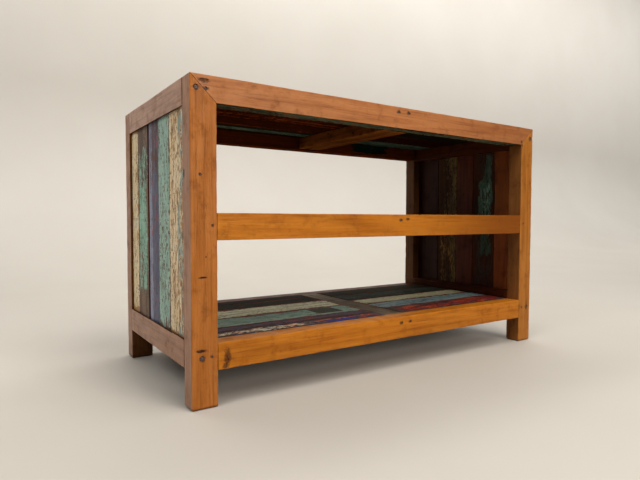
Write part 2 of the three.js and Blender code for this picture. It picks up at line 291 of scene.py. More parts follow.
def carve(piece, seed, dishes):
    """Cuts dishes (centre, inward, radii, depth, turn) into a piece."""
    rng = np.random.default_rng(seed)
    shape = bmesh.new()
    for entry in dishes:
        dish(shape, rng, *entry)
    bmesh.ops.recalc_face_normals(shape, faces=shape.faces)
    mesh = bpy.data.meshes.new("carving_tool")
    shape.to_mesh(mesh)
    shape.free()
    tool = add_object("carving_tool", mesh)
    cut = piece.modifiers.new("dishes", "BOOLEAN")
    cut.operation, cut.solver, cut.object = "DIFFERENCE", "EXACT", tool
    solved = piece.evaluated_get(bpy.context.evaluated_depsgraph_get())
    carved = bpy.data.meshes.new_from_object(solved)
    piece.modifiers.clear()
    piece.data = carved
    carved.shade_smooth()
    carved.set_sharp_from_angle(angle=CARVED_CREASE)
    bpy.data.objects.remove(tool)


# %% [markdown]
# ## Fitting a piece to the frame
#
# Each finished piece stands for one CAD node and rides on the single body "root". Different faces
# of one board may carry different finishes: a side plank is painted outside and bare inside. So
# faces are given finishes by the way that they look.

# %% Make a piece and give its faces their finishes
slots = {entry["node"]: entry["material_slot"] for entry in frame["record"]["subparts"]}
DIRECTIONS = {
    "+X": (1, 0, 0), "-X": (-1, 0, 0), "+Y": (0, 1, 0),
    "-Y": (0, -1, 0), "+Z": (0, 0, 1), "-Z": (0, 0, -1),
}
LOOKS_ALONG = 0.75  # the least cosine between a face's normal and a direction
fitted = []


def finish_faces(piece, finish, others):
    """finish goes everywhere; others are finishes for faces that look along a direction."""
    piece.data.materials.append(finish)
    for number, (words, other) in enumerate(others.items(), start=1):
        piece.data.materials.append(other)
        wanted = [Vector(DIRECTIONS[word]) for word in words.split()]
        for face in piece.data.polygons:
            if any(face.normal.dot(way) > LOOKS_ALONG for way in wanted):
                face.material_index = number


def make(node, grain, seed, finish, others=None, outline=None, span=None, dishes=(), **shape):
    """Makes, carves, finishes and fits one timber: its box gives what outline and span don't."""
    u, a, b = AXES[grain]
    low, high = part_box(node)
    if outline is None:
        outline = [(low[a], low[b]), (high[a], low[b]), (high[a], high[b]), (low[a], high[b])]
    piece = timber(f"{node}_timber", grain, outline, span or (low[u], high[u]), seed, **shape)
    if dishes:
        carve(piece, seed, dishes)
    finish_faces(piece, finish, others or {})
    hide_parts(node)
    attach(piece, "root")
    fitted.append(node)


def tell(what):
    """Prints the pieces fitted since it was last called."""
    print(what, *fitted)
    fitted.clear()


# %% [markdown]
# ## Finishes as node trees
#
# Every finish is procedural and works in real metres, from the object's own coordinates, so the
# grain keeps its size on every piece. A few small helpers keep the node trees readable: `wire`
# adds a node and connects it, and the rest wrap the nodes that wood and paint use most.

# %% Helpers for node trees
def wire(tree, kind, inputs=(), **settings):
    """Adds a shader node; inputs maps a socket's name or number to a value or to another socket."""
    node = tree.nodes.new(f"ShaderNode{kind}")
    for key, value in settings.items():
        setattr(node, key, value)
    for key, value in dict(inputs).items():
        if isinstance(value, bpy.types.NodeSocket):
            tree.links.new(value, node.inputs[key])
        else:
            node.inputs[key].default_value = value
    return node


def calc(tree, operation, first, second=0.0):
    """One step of arithmetic."""
    return wire(tree, "Math", {0: first, 1: second}, operation=operation).outputs[0]


def blend(tree, share, first, second):
    """The colour first, or second where share is 1."""
    inputs = {0: share, 6: first, 7: second}
    return wire(tree, "Mix", inputs, data_type="RGBA", clamp_factor=True).outputs[2]


def step(tree, value, low, high, start=0.0, stop=1.0):
    """Smoothly from start at low to stop at high."""
    inputs = {"Value": value, "From Min": low, "From Max": high, "To Min": start, "To Max": stop}
    return wire(tree, "MapRange", inputs, interpolation_type="SMOOTHSTEP").outputs["Result"]


def stretched(tree, vector, scale, offset=(0, 0, 0)):
    """Coordinates times scale, then moved by offset."""
    inputs = {"Vector": vector, "Scale": scale, "Location": offset}
    return wire(tree, "Mapping", inputs).outputs["Vector"]


def noise(tree, vector, scale, detail=4.0, roughness=0.55, distortion=0.0):
    inputs = {
        "Vector": vector, "Scale": scale, "Detail": detail,
        "Roughness": roughness, "Distortion": distortion,
    }
    return wire(tree, "TexNoise", inputs).outputs["Fac"]


def fibres(tree, space, along, across, detail, roughness=0.55, offset=(0, 0, 0), distortion=0.0):
    """Noise drawn out along the grain: along and across are waves per metre."""
    drawn = stretched(tree, space, (along, across, across), offset)
    return noise(tree, drawn, 1.0, detail, roughness, distortion)


def rgb(red, green, blue):
    """A linear colour from screen values 0 to 255."""
    def linear(value):
        share = value / 255
        return share / 12.92 if share <= 0.04045 else ((share + 0.055) / 1.055) ** 2.4
    return (linear(red), linear(green), linear(blue), 1.0)


# %% Grain coordinates
def start_finish(name):
    finish = bpy.data.materials.new(name)
    finish.use_nodes = True
    tree = finish.node_tree
    tree.nodes.clear()
    return finish, tree


def grain_space(tree, grain, shift):
    """Coordinates in metres with the grain along x, moved by shift so that pieces differ."""
    place = wire(tree, "TexCoord").outputs["Object"]
    parts = wire(tree, "SeparateXYZ", {0: place}).outputs
    order = AXES[grain]
    joined = wire(tree, "CombineXYZ", {i: parts[order[i]] for i in range(3)})
    moved = stretched(tree, joined.outputs[0], (1, 1, 1), (shift, shift * 1.7, shift * 0.6))
    return place, parts, moved


# %% [markdown]
# ## Bare wood
#
# Teak shows three things at arm's length: broad bands where the saw crossed the growth rings,
# short dark pores that run with the grain, and slow changes of tone. All three are noise that is
# stretched along the grain. The bands come from folding one slow noise into many stripes, which
# gives the long flames of a real board.

# %% Wood colour and relief
def wood_layers(tree, space, light, middle, dark, bands=7.0):
    """(colour, relief) of bare wood in grain space."""
    slow = fibres(tree, space, 1.1, 14, 2.0, 0.5, distortion=0.4)
    folded = calc(tree, "SINE", calc(tree, "MULTIPLY", slow, bands * 2 * math.pi))
    fibre = fibres(tree, space, 16, 460, 4.0, 0.68)
    pores = step(tree, fibres(tree, space, 70, 1500, 2.0), 0.60, 0.72)
    streaks = fibres(tree, space, 7, 190, 4.0, 0.65, (4, 2, 6))
    tone = fibres(tree, space, 2.2, 20, 3.0, offset=(3, 1, 2))
    share = calc(tree, "MULTIPLY", folded, 0.2)
    share = calc(tree, "ADD", share, calc(tree, "MULTIPLY", fibre, 1.3))
    share = calc(tree, "SUBTRACT", share, 0.15)
    colour = blend(tree, share, light, middle)
    colour = blend(tree, step(tree, streaks, 0.50, 0.70, 0.0, 0.50), colour, dark)
    colour = blend(tree, step(tree, streaks, 0.32, 0.46, 0.35, 0.0), colour, light)
    colour = blend(tree, step(tree, tone, 0.48, 0.76, 0.0, 0.45), colour, dark)
    colour = blend(tree, calc(tree, "MULTIPLY", pores, 0.5), colour, dark)
    relief = calc(tree, "SUBTRACT", calc(tree, "MULTIPLY", fibre, 0.6), pores)
    return colour, relief


def marks(tree, place, spots, colour, dark, strength=0.9):
    """Darkens ragged spots (centre, radii): knots, scars and nail stains."""
    wobble = noise(tree, place, 230.0, 4.0, 0.65)
    for spot, radii in spots:
        scale = tuple(1 / r for r in radii)
        centre = tuple(-c * s for c, s in zip(spot, scale))
        local = stretched(tree, place, scale, centre)
        away = wire(tree, "VectorMath", {0: local}, operation="LENGTH").outputs["Value"]
        away = calc(tree, "ADD", away, calc(tree, "MULTIPLY", wobble, 1.6))
        colour = blend(tree, step(tree, away, 1.35, 2.1, strength, 0.0), colour, dark)
    return colour


def end_finish(tree, finish, colour, rough, relief, depth, shine=0.5):
    """The surface itself: relief is read in parts of depth metres."""
    bump = wire(tree, "Bump", {"Height": relief, "Strength": 1.0, "Distance": depth})
    surface = wire(tree, "BsdfPrincipled", {
        "Base Color": colour, "Roughness": rough, "Normal": bump.outputs["Normal"],
        "Specular IOR Level": shine,
    })
    wire(tree, "OutputMaterial", {"Surface": surface.outputs["BSDF"]})
    return finish


# %% [markdown]
# ## Oiled frame timber
#
# The posts and rails are sanded and oiled: warm orange brown, satin, a little darker in old
# hollows, and paler where the arrises are rubbed through the oil.

# %% The oiled finish
IRON_STAIN = rgb(36, 20, 16)
OIL_RELIEF = 0.0002  # depth of the grain that can be felt, in metres


def oiled(name, grain, shift, tones, knots=(), stains=(), gloss=0.42, pale=0.5, shine=0.25,
          darker=None):
    """tones are light, middle and dark; knots and stains are (centre, radii).

    darker = (axis, start, stop, share) lets the tone deepen along one axis."""
    light, middle, dark = (rgb(*tone) for tone in tones)
    finish, tree = start_finish(name)
    place, parts, space = grain_space(tree, grain, shift)
    colour, relief = wood_layers(tree, space, light, middle, dark)
    rubbed = wire(tree, "Attribute", attribute_name="arris").outputs["Fac"]
    patchy = noise(tree, place, 45.0, 3.0)
    rubbed = calc(tree, "MULTIPLY", rubbed, step(tree, patchy, 0.35, 0.65, 0.2, 1.0))
    colour = blend(tree, calc(tree, "MULTIPLY", rubbed, pale), colour, light)
    if darker:
        axis, start, stop, share = darker
        deeper = step(tree, parts["XYZ".index(axis)], start, stop, 0.0, share)
        colour = blend(tree, deeper, colour, dark)
    grime = noise(tree, stretched(tree, place, (1, 1, 1), (5, 2, 9)), 26.0, 5.0, 0.65)
    colour = blend(tree, step(tree, grime, 0.50, 0.74, 0.0, 0.55), colour, dark)
    colour = marks(tree, place, knots, colour, IRON_STAIN)
    colour = marks(tree, place, stains, colour, IRON_STAIN, 0.7)
    rough = step(tree, grime, 0.3, 0.8, gloss - 0.06, gloss + 0.18)
    return end_finish(tree, finish, colour, rough, relief, OIL_RELIEF, shine)


POST_WOOD = ((174, 108, 50), (141, 79, 25), (94, 47, 13))
FAR_POST_WOOD = ((172, 110, 48), (140, 82, 22), (90, 46, 10))
# The top tones are partly painted highlight: paler and pinker than the lower rails' because light
# from above falls on the top rail.
TOP_SHEEN_WOOD = ((176, 116, 70), (146, 86, 44), (102, 56, 30))
# The rail tones are partly painted reflection: their deep orange stands for a warm floor mirrored in
# the middle and bottom rails.
RAIL_SHEEN_WOOD = ((188, 116, 32), (156, 86, 14), (108, 54, 8))
# The side tones are partly painted reflection: their mauve grey stands for a pale wall mirrored at a
# grazing angle in the side and back faces.
SIDE_SHEEN_WOOD = ((184, 138, 110), (152, 106, 80), (102, 66, 48))
# The inner tones are painted shade: the same teak drawn darker for faces that turn into the stand.
INNER_SHADED_WOOD = ((142, 90, 44), (114, 68, 28), (66, 36, 14))
# The back tones are painted shade: the back posts' inner faces drawn darker still, deep in the bays.
BACK_SHADED_WOOD = ((104, 62, 26), (80, 44, 14), (46, 24, 8))
SHADE_WOOD = ((86, 38, 14), (62, 25, 8), (32, 12, 5))

# %% [markdown]
# ## Old boat paint
#
# A boat is painted every year in whatever colour is at hand, so an old plank holds a stack of
# coats. Each coat is laid over the last one and then lost again in its own pattern: slow noise
# says in which parts of the plank it held, fine noise breaks its border into flakes, and chips
# take every coat off down to the wood. A coat may be kept to one part of a plank, because some
# planks were half behind a rail or had a patch painted over.

# %% One coat, and where it is kept
def coat(colour, tone, cover, size=(12, 40), worn=0.14, **where):
    """cover is the share left and size is (along, across) in waves per metre.

    x, y and z keep it between two places, with a soft border: (start, stop, border)."""
    return dict(colour=rgb(*colour), tone=rgb(*tone), cover=cover, size=size, where=where, worn=worn)


def outside(tree, parts, where):
    """0 inside the spans in where, rising to 0.3 outside over their soft borders."""
    total = 0.0
    for axis, (start, stop, soft) in where.items():
        value = parts["xyz".index(axis)]
        before = step(tree, value, start - soft, start, 0.3, 0.0)
        after = step(tree, value, stop, stop + soft, 0.0, 0.3)
        total = calc(tree, "ADD", calc(tree, "ADD", before, after), total)
    return total


def chip_mask(tree, space, share, size):
    """1 in chips: warped cells, of which only a share lost their paint."""
    along, across = size
    warp = wire(tree, "TexNoise", {"Vector": space, "Scale": 260.0, "Detail": 3.0})
    cells = stretched(tree, space, (along, across, across))
    warped = wire(tree, "VectorMath", {0: warp.outputs["Color"], 3: 1.5}, operation="SCALE")
    moved = wire(tree, "VectorMath", {0: warped.outputs[0], 1: cells}, operation="ADD")
    cell = wire(tree, "TexVoronoi", {"Vector": moved.outputs[0], "Scale": 1.0})
    luck = wire(tree, "SeparateColor", {0: cell.outputs["Color"]}).outputs[0]
    radius = step(tree, luck, 1.0 - share, 1.0, 0.0, 0.62)
    return step(tree, calc(tree, "SUBTRACT", cell.outputs["Distance"], radius), -0.08, 0.0, 1.0, 0.0)


# %% The layered paint finish
CHIP_SIZE = (120, 330)  # cells per metre, along and across the grain
CRACKS = 0.4
GRIME = 0.3
CRACK_COLOUR = rgb(30, 20, 16)
PAINT_RELIEF = 0.0004
FLAKE_SPREAD = 0.27  # how far a coat's share moves the level at which it breaks off


def painted(name, grain, shift, wood, coats, chips=0.20, gloss=0.5, shine=0.5):
    """Old paint: wood is (light, dark), the coats lie bottom first, chips is the share lost."""
    light, dark = rgb(*wood[0]), rgb(*wood[1])
    finish, tree = start_finish(name)
    _, parts, space = grain_space(tree, grain, shift)
    colour, relief = wood_layers(tree, space, light, dark, dark, 6.0)
    height = calc(tree, "MULTIPLY", relief, 0.4)
    flakes = fibres(tree, space, 75, 210, 5.0, 0.70)
    mottle = fibres(tree, space, 18, 70, 5.0, 0.62, (7, 3, 1))
    chipped = chip_mask(tree, space, chips, CHIP_SIZE)
    colour = blend(tree, calc(tree, "MULTIPLY", chipped, 0.7), colour, dark)
    rubbed = wire(tree, "Attribute", attribute_name="arris").outputs["Fac"]
    covered = 0.0
    for number, layer in enumerate(coats):
        coarse = fibres(tree, space, *layer["size"], 4.0, 0.6, (number * 3.1, number * 1.3, 4.7))
        field = calc(tree, "MULTIPLY", calc(tree, "ADD", coarse, flakes), 0.5)
        field = calc(tree, "SUBTRACT", field, calc(tree, "MULTIPLY", rubbed, layer["worn"]))
        field = calc(tree, "SUBTRACT", field, calc(tree, "MULTIPLY", chipped, 0.4))
        field = calc(tree, "SUBTRACT", field, outside(tree, parts, layer["where"]))
        cut = 0.5 - (layer["cover"] - 0.5) * FLAKE_SPREAD
        kept = step(tree, field, cut - 0.006, cut + 0.008)
        # painted shade: the wood or coat just outside each coat's border is darkened, as if the
        # paint's raised edge threw a thin shadow.
        edge = step(tree, field, cut - 0.030, cut, 0.0, 0.35)
        colour = blend(tree, edge, colour, dark)
        coloured = blend(tree, step(tree, mottle, 0.40, 0.64), layer["colour"], layer["tone"])
        colour = blend(tree, kept, colour, coloured)
        height = calc(tree, "ADD", height, calc(tree, "MULTIPLY", kept, 0.5))
        covered = calc(tree, "MAXIMUM", kept, covered)
    ridges = fibres(tree, space, 5, 130, 3.0, offset=(2, 8, 5), distortion=0.3)
    split = calc(tree, "ABSOLUTE", calc(tree, "SUBTRACT", ridges, 0.5))
    split = step(tree, split, 0.002, 0.008, CRACKS, 0.0)
    colour = blend(tree, split, colour, CRACK_COLOUR)
    dirty = fibres(tree, space, 40, 240, 4.0, 0.7, (1, 6, 2))
    colour = blend(tree, step(tree, dirty, 0.48, 0.72, 0.0, GRIME), colour, dark)
    height = calc(tree, "SUBTRACT", height, calc(tree, "MULTIPLY", split, 1.5))
    rough = step(tree, calc(tree, "SUBTRACT", covered, dirty), -0.4, 0.6, 0.85, gloss)
    return end_finish(tree, finish, colour, rough, height, PAINT_RELIEF, shine)


# %% [markdown]
# ## Nails
#
# Forged iron nails, their heads punched below the face and rusted dark. The big ones hold the
# front frame's corners; the small ones are left over from the boat. Each is one profile turned
# round its axis, with a few lumps, because a plain cylinder would look machine made.

# %% Iron and nails
iron, tree = start_finish("old_iron")
place, _, _ = grain_space(tree, "X", 0.3)
rust = noise(tree, place, 900.0, 4.0, 0.65)
iron_colour = blend(tree, step(tree, rust, 0.40, 0.62), rgb(92, 70, 66), rgb(40, 27, 24))
RUST_RELIEF = 0.0004
end_finish(tree, iron, iron_colour, step(tree, rust, 0.3, 0.7, 0.45, 0.8), rust, RUST_RELIEF)
# (share of the head's radius, how deep in radii) from the middle of the head to the point
HEAD_PROFILE = ((0.0, 0.06), (0.45, 0.08), (0.80, 0.14), (0.96, 0.24), (1.0, 0.40),
                (0.92, 0.56), (0.40, 0.70), (0.34, 2.60), (0.0, 3.40))
HEAD_POINTS = 18
FORWARD = (0, 1, 0)


def nail(name, spot, radius, seed, sunk=0.0006):
    """A forged nail whose head lies just below the front face at spot."""
    rng = np.random.default_rng(seed)
    inward = Vector(FORWARD)
    side = Vector((0, 0, 1)).cross(inward).normalized()
    up = inward.cross(side)
    lumps = 1 + 0.05 * rng.standard_normal(HEAD_POINTS)
    shape = bmesh.new()
    rings = []
    for share, reach in HEAD_PROFILE:
        depth = sunk + reach * radius
        if share == 0:
            rings.append([shape.verts.new(Vector(spot) + inward * depth)])
            continue
        ring = []
        for k in range(HEAD_POINTS):
            angle = 2 * math.pi * k / HEAD_POINTS
            out = share * radius * lumps[k]
            turned = side * math.cos(angle) + up * math.sin(angle)
            ring.append(shape.verts.new(Vector(spot) + inward * depth + turned * out))
        rings.append(ring)
    for near, far in zip(rings, rings[1:]):
        for k in range(HEAD_POINTS):
            corners = [near[k % len(near)], near[(k + 1) % len(near)],
                       far[(k + 1) % len(far)], far[k % len(far)]]
            shape.faces.new(list(dict.fromkeys(corners)))
    bmesh.ops.recalc_face_normals(shape, faces=shape.faces)
    mesh = bpy.data.meshes.new(name)
    shape.to_mesh(mesh)
    shape.free()
    mesh.shade_smooth()
    piece = add_object(name, mesh)
    mesh.materials.append(iron)
    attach(piece, "root")
    return piece


# %% Drive the nails
HEAD_CLEARANCE = 0.0004
SMALL_HEAD = 0.8  # of its hole's radius
SMALL_SUNK = 0.0012
big_nails = {}
for node in (n for n in slots if n.startswith("nail_")):
    low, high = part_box(node)
    big_nails[node] = ((low.x + high.x) / 2, front_face, (low.z + high.z) / 2)
    radius = (high.x - low.x) / 2 - HEAD_CLEARANCE
    head = nail(f"{node}_iron", big_nails[node], radius, len(big_nails))
    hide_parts(node)

# Small nails by the timber that holds them: (x, z, radius of the hole)
SMALL_NAILS = {
    "front_left_post": ((-0.462, 0.095, 0.0024), (-0.459, 0.3335, 0.0022), (-0.482, 0.424, 0.0024)),
    "front_right_post": ((0.463, 0.096, 0.0027), (0.464, 0.333, 0.0024)),
    "top_front_rail": ((-0.470, 0.576, 0.0030), (-0.011, 0.588, 0.0032), (0.020, 0.589, 0.0030)),
    "middle_front_rail": ((-0.001, 0.343, 0.0030), (0.0205, 0.345, 0.0030)),
    "bottom_front_rail": ((0.004, 0.104, 0.0030), (0.031, 0.105, 0.0028)),
}
for node, spots in SMALL_NAILS.items():
    for number, (x, z, radius) in enumerate(spots):
        name = f"small_nail_{node}_{number}"
        nail(name, (x, front_face, z), radius * SMALL_HEAD, 100 + number, SMALL_SUNK)
print("nails:", len(big_nails), "large,", sum(map(len, SMALL_NAILS.values())), "small")

# %% Knots, splits and nail holes in the front faces
HOLE_DEPTH = 0.0032
STAIN_DEPTH = 0.004
BIG_HOLE = (0.0056, 0.0054)
BIG_STAIN = (0.0062, 0.0062, 0.0062)


def knot(x, z, wide, high):
    """A dark spot on a front face: (centre, radii)."""
    return (x, front_face, z), (wide, STAIN_DEPTH, high)


def split(x, z, length, width, depth, turn):
    """An opened grain line in a front face, as a dish."""
    return (x, front_face, z), FORWARD, (length, width), depth, turn


def front_dishes(node):
    """The dishes and the stains for every nail in one front timber."""
    dishes, stains = [], []
    low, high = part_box(node)
    for x, _, z in big_nails.values():
        if "post" in node and low.x < x < high.x and low.z < z < high.z:
            dishes.append(split(x, z, *BIG_HOLE, HOLE_DEPTH, 0.0))
            stains.append(((x, front_face, z), BIG_STAIN))
    stretch = 1.3 if "post" in node else 2.2
    for x, z, radius in SMALL_NAILS[node]:
        dishes.append(split(x, z, radius, radius * 0.95, HOLE_DEPTH, 0.4))
        stains.append(knot(x, z, radius * stretch, radius * 1.3))
    return dishes, stains


# %% [markdown]
# ## Posts
#
# Each post is one timber with its grain upright. The two front posts are cut to a mitre at the
# top, so their rings are sheared to the slant. The feet have a wider bevel, so that they don't
# splinter when the stand is dragged, and their lowest few millimetres are drawn darker as painted
# shade. Two short splits in the near post opened beside old knots.

# %% Posts
mitre_rise = top_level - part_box("top_front_rail")[0].z
FOOT_BEVEL = 0.003
# painted shade: the lowest few millimetres of each foot are drawn darker towards the floor.
FOOT_SHADOW = ("Z", 0.007, 0.001, 0.85)
SPLITS = {
    "front_left_post": (split(-0.478, 0.240, 0.0070, 0.0010, 0.0025, -0.30),
                        split(-0.482, 0.1075, 0.0085, 0.0014, 0.0028, -0.10)),
    "front_right_post": (),
}
KNOTS = {
    "front_left_post": (knot(-0.478, 0.240, 0.0085, 0.0018), knot(-0.482, 0.1075, 0.0095, 0.0028),
                        knot(-0.472, 0.277, 0.0016, 0.0016),
                        ((left_face, -0.197, 0.427), (0.004, 0.0045, 0.0090))),
    "front_right_post": (knot(0.453, 0.550, 0.0022, 0.0050),),
}


def mitred_top(outer):
    """Shears an upright timber so that its top falls along the mitre, from the outer face in."""
    def cut(spots):
        inset = np.abs(spots[..., 0] - outer)
        slanted = top_level - inset / post_width * mitre_rise
        spots[..., 2] *= slanted / top_level
        return spots

    return cut


def post(node, seed):
    """A post: the two front ones are mitred, carved and oiled warmer in front."""
    left = "left" in node
    shift = seed * 0.37
    knots = KNOTS.get(node, ())
    outward, inward = ("-X", "+X") if left else ("+X", "-X")
    outer = oiled(f"{node}_side", "Z", shift, SIDE_SHEEN_WOOD, knots, shine=0.3, darker=FOOT_SHADOW)
    shape = dict(arris=0.0013, rub=1.7, end_round=0.0008, foot=FOOT_BEVEL)
    if "back" in node:
        inner = oiled(f"{node}_inner", "Z", shift, BACK_SHADED_WOOD, shine=0.12)
        make(node, "Z", seed, inner, {outward: outer, "+Z +Y": outer}, **shape)
        return
    dishes, stains = front_dishes(node)
    tones = POST_WOOD if left else FAR_POST_WOOD
    front = oiled(f"{node}_front", "Z", shift, tones, knots, stains, shine=0.08, darker=FOOT_SHADOW)
    inner = oiled(f"{node}_inner", "Z", shift, INNER_SHADED_WOOD, shine=0.12)
    make(node, "Z", seed, front, {outward: outer, inward: inner, "+Y": inner},
         dishes=[*dishes, *SPLITS[node]], cut=mitred_top(left_face if left else right_face), **shape)


for seed, place in enumerate(("front_left", "front_right", "back_left", "back_right"), start=11):
    post(f"{place}_post", seed)
tell("posts:")

# %% [markdown]
# ## Front and back rails
#
# The rails run from post to post with their grain along the stand. The top front rail is the
# exception: it runs the full width, and both its ends are mitred down into the posts. A boolean
# could cut the mitres, but shearing the rings keeps the worn arrises whole. The rail's underside
# still carries the boat's grey-green paint.

# %% Front rails
MITRE_GAP = 0.00045


def mitred_ends(spots):
    half = right_face - MITRE_GAP
    reach = half - (top_level - spots[..., 2]) / mitre_rise * post_width
    spots[..., 0] *= reach / half
    return spots


grey_green_under = painted(
    "grey_green_under", "X", 1.9, ((84, 44, 18), (32, 15, 8)),
    [coat((92, 98, 78), (68, 74, 60), 0.78, (6, 60)),
     coat((150, 76, 28), (110, 52, 20), 0.24, (14, 90))],
    gloss=0.85, shine=0.0,
)
# Each front rail's tones, knots, splits, and how it darkens along x
FRONT_RAILS = {
    "top_front_rail": (
        TOP_SHEEN_WOOD, [knot(-0.474, 0.5890, 0.0105, 0.0046), knot(0.449, 0.560, 0.0045, 0.0040)],
        [split(-0.474, 0.5900, 0.0095, 0.0028, 0.0030, -0.10)], ("X", -0.1, 0.5, 0.40)),
    "middle_front_rail": (
        RAIL_SHEEN_WOOD, [knot(0.448, 0.330, 0.0020, 0.0020)], [], ("X", -0.05, 0.40, 0.80)),
    "bottom_front_rail": (
        RAIL_SHEEN_WOOD, [knot(-0.431, 0.090, 0.0070, 0.0170), knot(-0.436, 0.074, 0.0060, 0.0060)],
        [split(-0.431, 0.088, 0.0060, 0.0010, 0.0020, 1.35)], None),
}
for number, (node, (tones, knots, splits, darker)) in enumerate(FRONT_RAILS.items()):
    dishes, stains = front_dishes(node)
    finish = oiled(f"{node}_oil", "X", 2.3 + number, tones, (), stains + knots,
                   shine=0.1, darker=darker)
    others = {"+Y": oiled(f"{node}_inner", "X", 2.3 + number, INNER_SHADED_WOOD)}
    span, cut = between_posts, None
    if node == "top_front_rail":
        others["-Z"] = grey_green_under
        span, cut = (left_face + MITRE_GAP, right_face - MITRE_GAP), mitred_ends
    make(node, "X", 21 + number, finish, others, span=span, dishes=dishes + splits, cut=cut, rub=1.4)
tell("front rails:")

# %% Back rails
# The wood round the green patch is painted shade, drawn as dark as the shaded oil of the lower back
# rails.
green_patch = painted(
    "green_patched_rail", "X", 3.4, ((116, 52, 16), (62, 24, 8)),
    [coat((10, 40, 34), (8, 30, 27), 0.92, (10, 60), x=(0.200, 0.300, 0.05), z=(0.562, 0.60, 0.012))],
    chips=0.1, gloss=0.85, shine=0.0,
)
shade_oil = oiled("back_rail_shade", "X", 6.2, SHADE_WOOD, shine=0.12)
for number, level in enumerate(("top", "middle", "bottom")):
    node = f"{level}_back_rail"
    others = {"+Y": oiled(f"{node}_back", "X", 6.2 + number, SIDE_SHEEN_WOOD)}
    if level == "top":
        others["+Z"] = oiled("back_rail_top_oil", "X", 6.4, TOP_SHEEN_WOOD)
    finish = green_patch if level == "top" else shade_oil
    make(node, "X", 31 + number, finish, others, span=between_posts, arris=0.0014, rub=2.0)
tell("back rails:")

# %% [markdown]
# ## Cross rails, side rails and bearers
#
# These run front to back. Their sections are the joiner's real ones: a cross rail is rebated on
# both upper edges for the board ends, a top side rail is grooved underneath for the planks and
# rebated for the top boards, and a bottom side rail is grooved on top and housed on its inner face.
# The inner lip of each groove is deeper than the outer one, so it hides more of the planks.

# %% Sections of the short rails
plank_low, plank_high = (corner.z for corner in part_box("left_plank_1"))
inner_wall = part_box("left_plank_1")[1].x - left_face + JOINT_GAP
outer_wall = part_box("left_plank_1")[0].x - left_face - JOINT_GAP
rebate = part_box("top_left_board_1")[1].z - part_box("top_left_board_1")[0].z + JOINT_GAP
IN_GROOVE = 0.0077
CHAMFER = 0.003
print("a groove", round(inner_wall - outer_wall, 4), "wide and a rebate", round(rebate, 4), "deep")


def board_end(level):
    """How far in from the stand's side this level's boards end, in their rebate or housing."""
    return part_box(f"{level}_left_board_1")[0].x - left_face - JOINT_GAP


def from_side(node, points):
    """An outline from points (inset from the stand's side, height)."""
    return [(left_face + inset if "left" in node else right_face - inset, z) for inset, z in points]


def cross_section(node):
    low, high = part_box(node)
    level = node.split("_")[0]
    narrow_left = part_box(f"{level}_left_board_1")[1].x + JOINT_GAP
    narrow_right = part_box(f"{level}_right_board_1")[0].x - JOINT_GAP
    ledge = high.z - rebate
    return [
        (low.x, low.z), (high.x, low.z), (high.x, ledge), (narrow_right, ledge),
        (narrow_right, high.z), (narrow_left, high.z), (narrow_left, ledge), (low.x, ledge),
    ]


def bottom_side_section(node):
    low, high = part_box(node)
    housing = board_end("bottom")
    groove = plank_low - JOINT_GAP
    outer_lip = plank_low + IN_GROOVE
    return from_side(node, [
        (0, low.z + CHAMFER), (CHAMFER, low.z), (post_width, low.z),
        (post_width, bottom_level - rebate), (housing, bottom_level - rebate),
        (housing, bottom_level + JOINT_GAP), (post_width, bottom_level + JOINT_GAP),
        (post_width, high.z), (inner_wall, high.z), (inner_wall, groove),
        (outer_wall, groove), (outer_wall, outer_lip), (0, outer_lip),
    ])


def top_side_section(node):
    low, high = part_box(node)
    ledge = high.z - rebate
    groove = plank_high + JOINT_GAP
    outer_lip = plank_high - IN_GROOVE
    return from_side(node, [
        (0, outer_lip), (outer_wall, outer_lip), (outer_wall, groove), (inner_wall, groove),
        (inner_wall, low.z), (post_width, low.z), (post_width, ledge),
        (board_end("top"), ledge), (board_end("top"), high.z), (0, high.z),
    ])


def bearer_section(node):
    low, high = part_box(node)
    ledge = high.z - rebate
    return from_side(node, [
        (inner_wall, low.z), (post_width, low.z), (post_width, ledge),
        (board_end("middle"), ledge), (board_end("middle"), high.z), (inner_wall, high.z),
    ])


# %% Finishes for the short rails
side_oil = oiled("side_rail_oil", "Y", 5.1, SIDE_SHEEN_WOOD, shine=0.3)
# painted highlight: the top side rails' outer faces are drawn paler than the lower side rails, as
# light from above falls on them.
side_top_oil = oiled("side_top_oil", "Y", 5.9, ((200, 160, 138), (168, 126, 106), (112, 80, 64)),
                     shine=0.3)
rail_top_oil = oiled("rail_top_oil", "Y", 6.8, TOP_SHEEN_WOOD)
inner_shade = oiled("side_rail_shade", "Y", 5.6, SHADE_WOOD, pale=0.12, shine=0.05)
beam_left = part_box("top_cross_rail")[0].x
beam_knots = (((beam_left, 0.038, 0.574), (0.004, 0.0030, 0.0030)),
              ((beam_left, -0.072, 0.562), (0.004, 0.0034, 0.0030)))
# The beam's dark tones are partly painted shade, darker than the other cross rails' because it sits
# under the top; its strongly paled arrises are partly rubbed wear, partly painted highlight.
beam_oil = oiled("beam_oil", "Y", 7.7, ((146, 84, 36), (68, 36, 14), (38, 20, 9)), beam_knots,
                 gloss=0.7, pale=0.9, shine=0.0)
grey_cross = oiled("cross_rail_oil", "Y", 8.3, ((124, 108, 84), (88, 73, 55), (52, 39, 28)),
                   gloss=0.6, shine=0.08)

